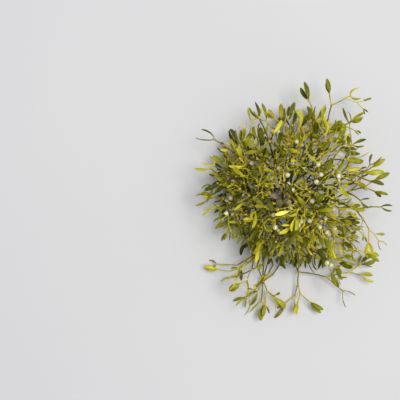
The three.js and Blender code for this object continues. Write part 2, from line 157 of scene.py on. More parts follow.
CELL = 8
BASE = -1
SHOOT_STEP = 3
SHOOT_MARGIN = 0.6
LEAF_BALL = 2
LEAF_ROWS = 8
FORK_JOIN = 9
FOOT_JOIN = 4
LEAF_JOIN = 7

# ---- detail beyond the solids

TWIG_SEED = 7
TWIG_SHARE = {"core": 0.55, "rim": 0.06}  # of the forks that try a short side twig, on each side
CORE_REACH = 88  # from the hub, seen from above
TWIG_LENGTH = (13, 24)
TWIG_ANGLE = (34, 62)
TWIG_FORK_LENGTH = (11, 18)
TWIG_LEAF_LENGTH = (11, 20)
TWIG_TRIES = 6
TWIG_RADIUS = 0.8
TWIG_LOWEST = TWIG_RADIUS + 6
MORE_BERRIES = 64
MORE_BERRY_SHARE = 0.5
BERRIED_REACH = 115  # from the hub, seen from above
BERRY_MARGIN = 5  # around the opening over the cut end

hub = np.array([0.0, 0.0, HUB_HEIGHT])
UP = np.array([0.0, 0.0, 1.0])


def draws_from(seed):
    """Evenly spread numbers from 0 to 1: each state is the last one times a constant, plus a constant."""
    state = seed

    def draw():
        nonlocal state
        state = (state * 1664525 + 1013904223) % 4294967296
        return state / 4294967296

    return draw


draw = draws_from(SEED)


def between(limits):
    return limits[0] + (limits[1] - limits[0]) * draw()


def unit(vector):
    return vector / math.sqrt(vector @ vector)


def cross(a, b):
    return np.array([a[1] * b[2] - a[2] * b[1], a[2] * b[0] - a[0] * b[2], a[0] * b[1] - a[1] * b[0]])


def square_to(heading, vector):
    """The part of a vector that is square to the heading, at length 1."""
    return unit(vector - heading * (vector @ heading))


def turned(vector, axis, angle):
    """The vector turned about the axis."""
    c = math.cos(angle)
    s = math.sin(angle)
    return vector * c + cross(axis, vector) * s + axis * (axis @ vector) * (1 - c)


def towards(bearing, climb):
    level = math.cos(climb * RAD)
    return np.array([math.cos(bearing * RAD) * level, math.sin(bearing * RAD) * level, math.sin(climb * RAD)])


def cells_within(value, reach):
    """The cells along one axis that are within reach of a value."""
    return range(math.floor((value - reach) / CELL), math.floor((value + reach) / CELL) + 1)


class Room:
    """The space that is taken, as balls. Each ball is listed in every cell that it can be touched from."""

    def __init__(self):
        self.cells = {}

    def take(self, balls, owner):
        for (x, y, z), radius in balls:
            reach = radius + BERRY_RADIUS + GAP
            for i in cells_within(x, reach):
                for j in cells_within(y, reach):
                    for k in cells_within(z, reach):
                        self.cells.setdefault((i, j, k), []).append((x, y, z, radius, owner))

    def is_clear(self, balls, start, let_off, owner):
        start = tuple(start)
        for at, radius in balls:
            is_near = math.dist(at, start) < let_off
            cell = (math.floor(at[0] / CELL), math.floor(at[1] / CELL), math.floor(at[2] / CELL))
            for x, y, z, other, who in self.cells.get(cell, ()):
                if is_near and (who == owner or who == BASE):
                    continue
                if math.dist(at, (x, y, z)) < radius + other + GAP:
                    return False
        return True


room = Room()


def shoot_balls(start, end, radius):
    steps = math.ceil(math.dist(start, end) / SHOOT_STEP)
    places = start + (end - start) * (np.arange(steps + 1) / steps)[:, None]
    return [(tuple(at), radius + SHOOT_MARGIN) for at in places.tolist()]


def reach_at(outline, bearing):
    place = (bearing % 360) / (360 / len(outline))
    low = math.floor(place) % len(outline)
    share = place - math.floor(place)
    return outline[low] * (1 - share) + outline[(low + 1) % len(outline)] * share


def has_leader(limb):
    return len(LIMBS[limb]) == 2


def distance_above(point):
    """How far a point is from the hub, seen from above."""
    return math.hypot(point[0] - hub[0], point[1] - hub[1])


def share_of_reach(point, margin, limb):
    """How far out a point is, with a margin around it, as a share of the crown's reach that way."""
    outline = SPRAY_REACH if has_leader(limb) else REACH
    bearing = math.atan2(point[1] - hub[1], point[0] - hub[0]) / RAD
    return (distance_above(point) + margin) / reach_at(outline, bearing)


def is_in_crown(point, margin, limb):
    """Whether a point with a margin around it is inside the crown's outline, under its domed top."""
    share = share_of_reach(point, margin, limb)
    return share < 1 and point[2] + margin < CROWN_TOP * math.sqrt(1 - DOME_FALL * share * share)


def is_in_opening(balls):
    """Whether any ball is in the funnel over the cut end, which stays clear."""
    for (x, y, z), radius in balls:
        height = z - hub[2] - OPENING["start"]
        distance = math.hypot(x - hub[0] - OPENING["at"][0], y - hub[1] - OPENING["at"][1])
        if height >= 0 and distance - radius < OPENING["radius"] + OPENING["widening"] * height:
            return True
    return False


class Shoot:
    """One length of stem. Its two children, or its two leaves, part towards +side and -side."""

    def __init__(self, limb, parent, way, start, heading, side, vigour):
        self.limb, self.parent, self.way = limb, parent, way
        self.start, self.heading, self.side, self.vigour = start, heading, side, vigour
        self.generation = parent.generation + 1 if parent else 0
        self.children, self.leaves, self.twigs = [], [], []
        self.is_twig = False
        self.end = None

    def child(self, way, heading, side):
        return Shoot(self.limb, self, way, self.end, heading, side, self.vigour)

    def grow_to(self, end, balls):
        room.take(balls, self.limb)
        self.end = end
        self.heading = unit(end - self.start)
        self.side = square_to(self.heading, self.side)


def vigour_along(limb, heading):
    distance = 0
    while is_in_crown(hub + heading * distance, 0, limb) and distance < FULL_REACH:
        distance += VIGOUR_STEP
    return max(LEAST_VIGOUR, distance / FULL_REACH)


def grow_shoot(shoot):
    radius = SHOOT_RADIUS[shoot.generation]
    spread = 1 + LENGTH_SPREAD * (2 * draw() - 1)
    heading = unit(shoot.heading + unit(shoot.start - hub) * OUTWARD_PULL)
    end = shoot.start + heading * (SHOOT_LENGTH[shoot.generation] * shoot.vigour * spread)
    if end[2] < radius + SHOOT_LIFT:
        return False
    if shoot.parent and (unit(end - shoot.start) @ shoot.parent.side) * shoot.way < LEAST_PARTING:
        return False
    balls = shoot_balls(shoot.start, end, radius)
    join = FORK_JOIN if shoot.parent else FOOT_JOIN
    if not is_in_crown(end, LEAF_ROOM, shoot.limb) or is_in_opening(balls):
        return False
    if not room.is_clear(balls, shoot.start, join, shoot.limb):
        return False
    shoot.grow_to(end, balls)
    return True


def turned_side(parent, heading):
    return square_to(heading, turned(parent.side, parent.heading, between(FORK_TURN) * RAD))


def grow_leader(root, nodes):
    shoot = root
    for step, node in enumerate(nodes):
        end = hub + np.array(node, float)
        if step > 0:
            heading = unit(end - shoot.end)
            shoot.side = square_to(shoot.heading, heading)
            child = shoot.child(1, heading, turned_side(shoot, heading))
            shoot.children.append(child)
            shoot = child
        shoot.grow_to(end, shoot_balls(shoot.start, end, SHOOT_RADIUS[step]))


def fork_shoot(shoot):
    ways = [-1] if shoot.children else [1, -1]
    at_hub = MISSING_SPRAY_SHOOT if has_leader(shoot.limb) else MISSING_SHOOT
    missing = at_hub + MISSING_AT_EDGE * share_of_reach(shoot.end, LEAF_ROOM, shoot.limb) ** 2
    if len(ways) == 2 and draw() < missing:
        ways.pop()
    for way in ways:
        for _ in range(SHOOT_TRIES):
            half = (between(FORK_ANGLE) / 2) * RAD
            heading = shoot.side * (way * math.sin(half)) + shoot.heading * math.cos(half)
            child = shoot.child(way, heading, turned_side(shoot, heading))
            if grow_shoot(child):
                shoot.children.append(child)
                break


def grow_berries(shoot, berries, most, share):
    """One or two berries at a fork, square to the plane of its shoots. Each is (fork, centre)."""
    if draw() > share:
        return
    across = cross(shoot.heading, shoot.side)
    for way in (1, -1):
        lean = unit(shoot.heading * BERRY_LEAN["ahead"] + across * (BERRY_LEAN["across"] * way))
        at = shoot.end + lean * between(BERRY_REACH)
        ball = [(tuple(at.tolist()), BERRY_RADIUS)]
        if len(berries) < most and room.is_clear(ball, shoot.end, 0, shoot.limb):
            room.take(ball, shoot.limb)
            berries.append((shoot, at))


class Leaf:
    """A leaf whose middle line is an arc that turns back at an even rate from its splayed foot."""

    def __init__(self, shoot, way, length):
        self.shoot, self.way, self.length = shoot, way, length
        self.splay = between(LEAF_SPLAY) * RAD
        self.curl = between(LEAF_CURL) * RAD
        self.roll = LEAF_ROLL * RAD * (2 * draw() - 1)
        share = np.arange(1, LEAF_ROWS + 1) / LEAF_ROWS
        at, _, wide = leaf_lines([self], share)
        reach = length * LEAF_WIDTH / 2 - LEAF_BALL
        steps = np.array([-reach, 0, reach])[None, :, None]
        spread = (at[0][:, None] + wide[0][:, None] * steps).reshape(-1, 3)
        keep = [*range(3 * (LEAF_ROWS - 1)), 3 * LEAF_ROWS - 2]
        self.balls = [(tuple(p), LEAF_BALL) for p in spread[keep].tolist()]


def column(things, key):
    return np.array([getattr(thing, key) for thing in things])


def turned_all(vectors, axes, angles):
    """Each vector turned about its own axis, as whole arrays."""
    c = np.cos(angles)[..., None]
    s = np.sin(angles)[..., None]
    along = (axes * vectors).sum(-1, keepdims=True)
    return vectors * c + np.cross(axes, vectors) * s + axes * along * (1 - c)


def leaf_lines(leaves, share):
    """Middle points, directions and wide axes of leaves at shares of their length.

    The chord to a share points half way between the arc's two tangents. Its length is the leaf's length times
    the share times the sine of half the turn so far, over that half.
    """
    shoots = [leaf.shoot for leaf in leaves]
    heading, side, foot = (column(shoots, key)[:, None] for key in ("heading", "side", "end"))
    values = (column(leaves, key)[:, None] for key in ("way", "length", "splay", "curl", "roll"))
    way, length, splay, curl, roll = values
    half = np.maximum(curl * share / 2, 1e-9)
    chord = length * share * np.sin(half) / half
    out = side * way[..., None]
    ahead = heading * (chord * np.cos(splay - half))[..., None]
    aside = out * (chord * np.sin(splay - half))[..., None]
    angle = splay - curl * share
    tangent = heading * np.cos(angle)[..., None] + out * np.sin(angle)[..., None]
    across = np.cross(heading, side) + np.zeros_like(tangent)
    return foot + ahead + aside, tangent, turned_all(across, tangent, roll * share)


def grow_leaves(shoot, lengths):
    for way in (1, -1):
        full = between(lengths)
        for attempt in range(LEAF_TRIES):
            leaf = Leaf(shoot, way, full * (1 - LEAF_SHORTENING * attempt))
            is_between = all(radius < at[2] < CROWN_TOP for at, radius in leaf.balls)
            if not is_between or is_in_opening(leaf.balls):
                continue
            if room.is_clear(leaf.balls, shoot.end, LEAF_JOIN, shoot.limb):
                room.take(leaf.balls, shoot.limb)
                shoot.leaves.append(leaf)
                break


def knuckle_centre(name):
    return hub + np.array(KNUCKLES[name]["at"], float)


def base_stems():
    joined = [(knuckle_centre(a), knuckle_centre(b), radius) for a, b, radius in STEMS]
    cut_end = hub + np.array(CUT_END["at"], float)
    return [*joined, (knuckle_centre(CUT_END["from"]), cut_end, CUT_END["radius"])]


def limb_start(knuckle, heading, side):
    across = cross(heading, side)
    start = knuckle_centre(knuckle) + heading * (KNUCKLES[knuckle]["radius"] + GAP)
    reach = SHOOT_RADIUS[0]

    def foot():
        return [(tuple((start + arm * reach).tolist()), 0) for arm in (side, across, -side, -across)]

    while not room.is_clear(foot(), hub, 0, BASE):
        start = start + heading * START_STEP
    return start


def start_limb(limb):
    knuckle, *rule = LIMBS[limb]
    leader = rule[0] if has_leader(limb) else None
    for attempt in range(ROOT_TRIES):
        stray = (ROOT_STRAY * attempt) / ROOT_TRIES
        aside = stray * (2 * draw() - 1)
        above = stray * (2 * draw() - 1)
        if leader:
            heading = unit(hub + np.array(leader[0], float) - knuckle_centre(knuckle))
        else:
            heading = towards(rule[0] + aside, rule[1] + above)
        side = turned(square_to(heading, UP), heading, between(FIRST_FORK_TURN) * RAD)
        start = limb_start(knuckle, heading, side)
        root = Shoot(limb, None, 1, start, heading, side, vigour_along(limb, heading))
        if leader:
            grow_leader(root, leader)
            return root
        if grow_shoot(root):
            return root
    return None


def is_forking(shoot):
    rule = LIMBS[shoot.limb]
    high = not has_leader(shoot.limb) and rule[2] > HIGH_CLIMB
    return bool(shoot.children) or shoot.generation + 1 < GENERATIONS["high" if high else "low"]


def grow_bunch():
    """Grows every limb generation by generation, then the berries, then the leaves."""
    for knuckle in KNUCKLES.values():
        room.take([(tuple((hub + np.array(knuckle["at"], float)).tolist()), knuckle["radius"])], BASE)
    for start, end, radius in base_stems():
        room.take(shoot_balls(start, end, radius), BASE)
    roots = [root for root in map(start_limb, range(len(LIMBS))) if root]
    everything, youngest = [], roots
    while youngest:
        everything += youngest
        for shoot in youngest:
            if is_forking(shoot):
                fork_shoot(shoot)
        youngest = [child for shoot in youngest for child in shoot.children]
    berries = []
    for shoot in everything:
        forked = len(shoot.children) == 2 and any(not child.children for child in shoot.children)
        if forked and shoot.end[2] > HUB_HEIGHT:
            grow_berries(shoot, berries, BERRY_COUNT, BERRY_SHARE)
    for shoot in everything:
        if not shoot.children:
            grow_leaves(shoot, LEAF_LENGTH)
    return roots, everything, berries


def grow_twig(parent, across, angles, lengths):
    """A short twig that leans from its parent's heading towards across, if it and its leaves have room.

    It is given as a list, which is empty where no try fits.
    """
    for _ in range(TWIG_TRIES):
        angle = between(angles) * RAD
        heading = unit(parent.heading * math.cos(angle) + across * math.sin(angle))
        end = parent.end + heading * between(lengths)
        balls = shoot_balls(parent.end, end, TWIG_RADIUS)
        is_inside = is_in_crown(end, LEAF_ROOM, parent.limb) and end[2] > TWIG_LOWEST
        if not is_inside or is_in_opening(balls):
            continue
        if room.is_clear(balls, parent.end, FORK_JOIN, parent.limb):
            side = square_to(heading, turned(parent.side, heading, between(FORK_TURN) * RAD))
            twig = parent.child(1, heading, side)
            twig.is_twig = True
            twig.grow_to(end, balls)
            parent.twigs.append(twig)
            return [twig]
    return []


def grow_twigs(shoots):
    """Short side twigs at forks, square to the fork's own plane. Most fork once more before their leaves."""
    twigs = []
    for shoot in shoots:
        across = cross(shoot.heading, shoot.side)
        share = TWIG_SHARE["core" if distance_above(shoot.end) < CORE_REACH else "rim"]
        for way in (1, -1):
            if draw() <= share:
                twigs += grow_twig(shoot, across * way, TWIG_ANGLE, TWIG_LENGTH)
    half_angles = [angle / 2 for angle in FORK_ANGLE]
    for twig in list(twigs):
        for way in (1, -1):
            twigs += grow_twig(twig, twig.side * way, half_angles, TWIG_FORK_LENGTH)
    for twig in twigs:
        if not twig.twigs:
            grow_leaves(twig, TWIG_LEAF_LENGTH)
    return twigs


roots, shoots, berries = grow_bunch()
draw = draws_from(TWIG_SEED)
twigs = grow_twigs([shoot for shoot in shoots if shoot.children])
more_berries = []
for shoot in shoots + twigs:
    is_inner = distance_above(shoot.end) < BERRIED_REACH
    if is_inner and len(shoot.children) + len(shoot.twigs) >= 2 and shoot.end[2] > HUB_HEIGHT:
        grow_berries(shoot, more_berries, MORE_BERRIES, MORE_BERRY_SHARE)
berry_room = BERRY_RADIUS + BERRY_MARGIN
more_berries = [fruit for fruit in more_berries if not is_in_opening([(fruit[1], berry_room)])]

# The solids were moved so that their box stands over the origin. The first berry says by how much.
lowest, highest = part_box("berry_01")
SHIFT = np.array((lowest + highest) / 2, float) - berries[0][1] * MM


def placed(points):
    """Places in the growth's millimetres, as metres in the frame."""
    return points * MM + SHIFT


LOW = 0.003  # metres above the table


def above_table(points):
    """Points lower than LOW move half way up to it, so that the lowest leaves rest on the table."""
    points[:, 2] = np.where(points[:, 2] < LOW, (points[:, 2] + LOW) / 2, points[:, 2])
    return points


# ---- meshes

rng = np.random.default_rng(11)
scene = bpy.context.scene


def closed_shapes(rings, first, last):
    """Vertices and faces of many closed shapes at once.

    rings is shapes x stations x corners x 3. Neighbouring rings are joined by four-sided faces, and the first
    and the last ring are each closed by a fan to a single point. Corners run anticlockwise seen from ahead.
    """
    count, stations, corners, _ = rings.shape
    each = stations * corners + 2
    points = np.concatenate([rings.reshape(count, -1, 3), first[:, None], last[:, None]], axis=1)
    ring = np.arange(corners)
    after = (ring + 1) % corners
    below = np.arange(stations - 1)[:, None] * corners
    above = below + corners
    quads = np.stack([below + ring, below + after, above + after, above + ring], -1).reshape(-1, 4)
    top = (stations - 1) * corners
    foot = np.stack([np.full(corners, each - 2), after, ring], -1)
    tip = np.stack([np.full(corners, each - 1), top + ring, top + after], -1)
    offsets = np.arange(count)[:, None, None] * each
    quads = (quads[None] + offsets).reshape(-1, 4)
    fans = (np.concatenate([foot, tip])[None] + offsets).reshape(-1, 3)
    return points.reshape(-1, 3), quads, fans


def per_vertex(values, corners, last=None):
    """Values given per shape and station, spread over the vertices in the order of closed_shapes.

    The closing points take the values of the first and the last station, unless the last ones are given.
    """
    body = np.repeat(values[:, :, None], corners, axis=2).reshape(len(values), -1)
    last = values[:, -1] if last is None else last
    return np.concatenate([body, values[:, :1], last[:, None]], axis=1).reshape(-1)


def normalised(vectors):
    return vectors / np.linalg.norm(vectors, axis=-1, keepdims=True)


def square_to_all(axes, vectors):
    """The part of each vector that is square to its axis, at length 1."""
    return normalised(vectors - axes * (axes * vectors).sum(-1, keepdims=True))


def corner_angles(corners):
    return np.arange(corners) * 2 * math.pi / corners


def ring_directions(one, two, corners):
    """Directions around rings: one times the cosine of each corner's angle, plus two times its sine."""
    angle = corner_angles(corners)[:, None]
    return one[..., None, :] * np.cos(angle) + two[..., None, :] * np.sin(angle)


class Batch:
    """Shapes that are gathered into one mesh, with their attributes."""

    def __init__(self):
        self.shapes, self.count = [], 0

    def add(self, rings, first, last, **values):
        points, quads, fans = closed_shapes(rings, first, last)
        self.shapes.append((points, quads + self.count, fans + self.count, values))
        self.count += len(points)

    def piece(self, name, material, slot, nodes):
        *shapes, values = zip(*self.shapes)
        points, quads, fans = (np.concatenate(arrays) for arrays in shapes)
        mesh = bpy.data.meshes.new(name)
        mesh.vertices.add(len(points))
        mesh.vertices.foreach_set("co", above_table(placed(points)).astype(np.float32).reshape(-1))
        corners = np.concatenate([quads.reshape(-1), fans.reshape(-1)])
        mesh.loops.add(len(corners))
        mesh.loops.foreach_set("vertex_index", corners.astype(np.int32))
        sizes = np.concatenate([np.full(len(quads), 4), np.full(len(fans), 3)])
        mesh.polygons.add(len(sizes))
        mesh.polygons.foreach_set("loop_start", (np.cumsum(sizes) - sizes).astype(np.int32))
        mesh.update(calc_edges=True)
        for key in values[0]:
            attribute = mesh.attributes.new(key, "FLOAT", "POINT")
            joined = np.concatenate([given[key] for given in values])
            attribute.data.foreach_set("value", joined.astype(np.float32))
        mesh.polygons.foreach_set("use_smooth", np.ones(len(sizes), bool))
        finished(name, mesh, material, nodes)


def linked(name, data):
    thing = bpy.data.objects.new(name, data)
    scene.collection.objects.link(thing)
    return thing


def finished(name, mesh, material, nodes):
    """A piece of the bunch, in the place of the nodes that it replaces."""
    piece = linked(name, mesh)
    mesh.materials.append(material)
    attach(piece, "root")
    if nodes:
        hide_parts(*nodes)


# A stem's stations: a share of its length, radii past that share, width in radii, and how swollen it is.
STEM_STATIONS = np.array([
    (0.00, -0.50, 0.80, 0.7),
    (0.00, 0.60, 1.05, 0.9),
    (0.10, 0.60, 0.92, 0.2),
    (0.35, 0.00, 0.86, 0.0),
    (0.68, 0.00, 0.88, 0.0),
    (0.93, 0.00, 1.00, 0.2),
    (1.00, -0.70, 1.42, 0.8),
    (1.00, 0.35, 1.70, 1.0),
    (1.00, 1.15, 1.14, 1.0),
])
STEM_CORNERS = 6
STEM_BULGE = {"foot": 0.4, "tip": 0.45}  # of the closing points, in radii


def add_stems(batch, start, end, side, bow, thin, thick, tone, age):
    """Lengths of stem with a swollen node at the end.

    The middle line runs from start to end with a bow of 4 t (1 - t). A ring around it at each station has the
    radius of the stem there, which goes from thick to thin along it, times the station's width.
    """
    share, past, width, node = STEM_STATIONS.T
    radius = thick[:, None] * (1 - share) + thin[:, None] * share
    run = end - start
    lean = 4 * share * (1 - share)
    line = start[:, None] + run[:, None] * share[:, None] + bow[:, None] * lean[:, None]
    ahead = normalised(run[:, None] + bow[:, None] * (4 * (1 - 2 * share))[:, None])
    line = line + ahead * (radius * past)[..., None]
    one = square_to_all(ahead, side[:, None])
    ring = ring_directions(one, np.cross(ahead, one), STEM_CORNERS)
    flat = np.ones((len(start), len(share)))
    batch.add(
        line[:, :, None] + ring * (radius * width)[..., None, None],
        line[:, 0] - ahead[:, 0] * (radius[:, 0] * STEM_BULGE["foot"])[:, None],
        line[:, -1] + ahead[:, -1] * (radius[:, -1] * STEM_BULGE["tip"])[:, None],
        tone=per_vertex(flat * tone[:, None], STEM_CORNERS),
        age=per_vertex(flat * age[:, None], STEM_CORNERS),
        node=per_vertex(flat * node, STEM_CORNERS),
    )


LEAF_SHARES = np.array([0.0, 0.1, 0.27, 0.47, 0.68, 0.86, 0.965])
LEAF_CORNERS = 8
BLADE_PEAK = 0.6  # where the blade is widest
BLADE_FOOT = 0.17  # its width at the foot, as a share of its greatest width
BLADE_PLUMPNESS = (0.76, 1.02)
BLADE_SICKLE = (-0.12, 0.12)  # how far the tip bends sideways, as a share of the length
BLADE_CUP = (-0.05, 0.42)  # how far the edges lift, as a share of half the width
BLADE_THICKNESS = 0.62  # half of it at the foot, in millimetres
BLADE_THINNING = 0.35  # the share of that lost at the tip
BLADE_OVERHANG = 0.4  # of the foot, into the node
BLADE_LAST_BEND = 1.05  # of the tip's point, in bends of the last ring


def blade_width(share):
    """Half the blade's width, as a share of its greatest.

    It widens from a narrow foot as a sine to the power 1.25, then narrows to a blunt tip.
    """
    widening = np.sin(np.minimum(share / BLADE_PEAK, 1) * math.pi / 2) ** 1.25
    past = np.maximum((share - BLADE_PEAK) / (1 - BLADE_PEAK), 0)
    return (BLADE_FOOT + (1 - BLADE_FOOT) * widening) * np.maximum(1 - past**2.1, 0) ** 0.6


def add_leaves(batch, leaves, tone):
    """Leathery blades along their arcs.

    A ring at each station is a flat ellipse, half the blade's width by half its thickness. Its edges lift by
    a share of the square of the distance from the midrib, and the blade bends sideways like a sickle.
    """
    count = len(leaves)
    at, tangent, wide = leaf_lines(leaves, LEAF_SHARES)
    way = column(leaves, "way")[:, None, None]
    under = np.cross(wide, tangent) * way
    length = column(leaves, "length")[:, None]
    plumpness = rng.uniform(*BLADE_PLUMPNESS, (count, 1))
    half = length * LEAF_WIDTH / 2 * plumpness * blade_width(LEAF_SHARES)
    sickle = rng.uniform(*BLADE_SICKLE, (count, 1)) * length * LEAF_SHARES**2
    cup = rng.uniform(*BLADE_CUP, (count, 1))
    thick = BLADE_THICKNESS * (1 - BLADE_THINNING * LEAF_SHARES)
    middle = at + wide * sickle[..., None]
    angle = corner_angles(LEAF_CORNERS)
    across = np.cos(angle)
    rise = -(thick[:, None] * np.sin(angle)) - cup[..., None] * half[..., None] * across**2
    sideways = (wide * way)[:, :, None] * (half[..., None] * across)[..., None]
    upwards = under[:, :, None] * rise[..., None]
    tip_at, _, tip_wide = leaf_lines(leaves, np.array([1.0]))
    stations = len(LEAF_SHARES)
    flat = np.ones((count, stations))
    veins = np.concatenate([np.tile(across, (count, stations)), np.zeros((count, 2))], axis=1)
    batch.add(
        middle[:, :, None] + sideways + upwards,
        middle[:, 0] - tangent[:, 0] * BLADE_OVERHANG,
        tip_at[:, 0] + tip_wide[:, 0] * (sickle[:, -1:] * BLADE_LAST_BEND),
        tone=per_vertex(flat * tone[:, None], LEAF_CORNERS),
        along=per_vertex(flat * LEAF_SHARES, LEAF_CORNERS, last=np.ones(count)),
        across=veins.reshape(-1),
    )


BUD_STATIONS = np.array([(-0.75, 0.62), (-0.2, 0.98), (0.4, 0.86), (0.85, 0.42)])
BUD_CORNERS = 6
BUD_POINT = 1.12  # in bud lengths from the middle
BUD_AGE = 0.95


def add_buds(batch, centre, axis, side, radius, length, tone):
    """Plump buds: a ring at each station around the axis, round below and drawn to a point above."""
    along, width = BUD_STATIONS.T
    line = centre[:, None] + axis[:, None] * (length[:, None] * along)[..., None]
    one = square_to_all(axis, side)[:, None]
    ring = ring_directions(one, np.cross(axis[:, None], one), BUD_CORNERS)
    flat = np.ones((len(centre), len(along)))
    batch.add(
        line[:, :, None] + ring * (radius[:, None] * width)[..., None, None],
        centre - axis * length[:, None],
        centre + axis * (length * BUD_POINT)[:, None],
        tone=per_vertex(flat * tone[:, None], BUD_CORNERS),
        age=per_vertex(flat * BUD_AGE, BUD_CORNERS),
        node=per_vertex(flat * (0.45 + 0.4 * along), BUD_CORNERS),
    )


BERRY_RINGS = 11
BERRY_CORNERS = 16
BERRY_STRETCH = 1.03
BERRY_POLES = {"stalk": 1.08, "scar": 0.93}  # in radii from the centre
BERRY_DENT = {"depth": 0.09, "width": 0.3}  # at the scar: in radii, and as an angle
BERRY_NECK = {"length": 0.05, "width": 0.5}  # at the stalk
SCAR_RING = 0.965 * math.pi
SCAR_ANGLE = 0.34


def add_fruit(batch, fork, centre, radius):
    """Berries with their scars.

    A ring at each polar angle from the stalk has radius sin(angle), and lies -cos(angle) along the axis. The
    far pole sinks in by a bell curve of the angle, and the stalk's pole is drawn out by another.
    """
    axis = normalised(centre - fork)
    one = normalised(np.cross(axis, UP) + 1e-6)
    polar = math.pi * (np.arange(BERRY_RINGS) + 1) / (BERRY_RINGS + 1)
    polar = np.append(polar, SCAR_RING)
    to_scar = math.pi - polar
    dent = BERRY_DENT["depth"] * np.exp(-((to_scar / BERRY_DENT["width"]) ** 2))
    neck = BERRY_NECK["length"] * np.exp(-((polar / BERRY_NECK["width"]) ** 2))
    height = -np.cos(polar) * BERRY_STRETCH - neck - dent
    ring = ring_directions(one[:, None], np.cross(axis, one)[:, None], BERRY_CORNERS)
    around = ring * np.sin(polar)[:, None, None]
    along = (axis[:, None] * height[:, None])[:, :, None]
    scar = np.ones((len(fork), 1)) * np.clip(1 - to_scar / SCAR_ANGLE, 0, 1)
    batch.add(
        centre[:, None, None] + radius[:, None, None, None] * (around + along),
        centre - axis * (radius * BERRY_POLES["stalk"])[:, None],
        centre + axis * (radius * BERRY_POLES["scar"])[:, None],
        scar=per_vertex(scar, BERRY_CORNERS, last=np.ones(len(fork))),
    )


# ---- materials


class Nodes:
    """The nodes of one tree, with short ways to add and join them."""

    def __init__(self, tree):
        self.tree = tree

    def add(self, kind, **settings):
        """A new node. A setting that starts with in_ is an input."""
        node = self.tree.nodes.new(kind)
        for key, value in settings.items():
            if key.startswith("in_"):
                node.inputs[key[3:].replace("_", " ")].default_value = value
            else:
                setattr(node, key, value)
        return node

    def join(self, source, target):
        self.tree.links.new(source, target)

    def feed(self, sockets, values):
        """Gives each socket its number, its colour or place, or a link from an output."""
        for socket, value in zip(sockets, values):
            if isinstance(value, tuple):
                socket.default_value = (*value, 1) if socket.type == "RGBA" else value
            elif isinstance(value, (int, float)):
                socket.default_value = value
            else:
                self.join(value, socket)

    def attribute(self, name):
        return self.add("ShaderNodeAttribute", attribute_name=name).outputs["Fac"]

    def maths(self, operation, *values, clamp=False):
        node = self.add("ShaderNodeMath", operation=operation, use_clamp=clamp)
        self.feed(node.inputs, values)
        return node.outputs[0]

    def vectors(self, operation, output, *values):
        node = self.add("ShaderNodeVectorMath", operation=operation)
        self.feed(node.inputs, values)
        return node.outputs[output]

    def span(self, value, **limits):
        """A value mapped from one span onto another, and held within it. Each is 0 to 1 unless given."""
        node = self.add("ShaderNodeMapRange", **limits)
        self.join(value, node.inputs["Value"])
        return node.outputs["Result"]

    def mix(self, factor, first, second):
        node = self.add("ShaderNodeMix", data_type="RGBA")
        self.feed((node.inputs[0], node.inputs[6], node.inputs[7]), (factor, first, second))
        return node.outputs[2]

    def ramp(self, value, *stops):
        node = self.add("ShaderNodeValToRGB")
        elements = node.color_ramp.elements
        while len(elements) < len(stops):
            elements.new(0.5)
        for element, (place, color) in zip(elements, stops):
            element.position = place
            element.color = (*color, 1)
        self.join(value, node.inputs["Fac"])
        return node.outputs["Color"]


def mottle_group():
    """Soft patches and fine grain on Object coordinates, each as a mask from 0 to 1."""
    tree = bpy.data.node_groups.new("mottle", "ShaderNodeTree")
    for name in ("Patch Scale", "Grain Scale"):
        tree.interface.new_socket(name, in_out="INPUT", socket_type="NodeSocketFloat")
    for name in ("Patches", "Grain"):
        tree.interface.new_socket(name, in_out="OUTPUT", socket_type="NodeSocketFloat")
    nodes = Nodes(tree)
    source = nodes.add("NodeGroupInput")
    result = nodes.add("NodeGroupOutput")
    place = nodes.add("ShaderNodeTexCoord")
    for scale, output, detail in (("Patch Scale", "Patches", 3.0), ("Grain Scale", "Grain", 2.0)):
        noise = nodes.add("ShaderNodeTexNoise", in_Detail=detail)
        nodes.join(place.outputs["Object"], noise.inputs["Vector"])
        nodes.join(source.outputs[scale], noise.inputs["Scale"])
        mask = nodes.span(noise.outputs["Fac"], in_From_Min=0.3, in_From_Max=0.7)
        nodes.join(mask, result.inputs[output])
    return tree


MOTTLE = mottle_group()


class Finish(Nodes):
    """A material of one Principled BSDF, with its mottle's patches and grain. Plain inputs go by name."""

    def __init__(self, name, patch_scale, grain_scale, **inputs):
        self.material = bpy.data.materials.new(name)
        self.material.use_nodes = True
        super().__init__(self.material.node_tree)
        self.tree.nodes.clear()
        inputs = {f"in_{key}": value for key, value in inputs.items()}
        self.bsdf = self.add("ShaderNodeBsdfPrincipled", **inputs)
        output = self.add("ShaderNodeOutputMaterial")
        self.join(self.bsdf.outputs["BSDF"], output.inputs["Surface"])
        mottle = self.add("ShaderNodeGroup", node_tree=MOTTLE)
        self.feed(mottle.inputs, (float(patch_scale), float(grain_scale)))
        self.patches, self.grain = mottle.outputs["Patches"], mottle.outputs["Grain"]

    def finish(self, color, roughness, height, strength, depth):
        """Joins up the colour, a roughness that follows the grain between two limits, and a bump."""
        rough = self.span(self.grain, in_To_Min=roughness[0], in_To_Max=roughness[1])
        bump = self.add("ShaderNodeBump", in_Strength=strength, in_Distance=depth)
        self.join(color, self.bsdf.inputs["Base Color"])
        self.join(rough, self.bsdf.inputs["Roughness"])
        self.join(height, bump.inputs["Height"])
        self.join(bump.outputs["Normal"], self.bsdf.inputs["Normal"])
        return self.material


VEIN_PHASE = 9.42  # radians from midrib to edge: three half turns, with a vein along each peak
ROOT_YELLOW = (0.46, 0.30, 0.025)
VEIN_GREEN = (0.50, 0.48, 0.10)


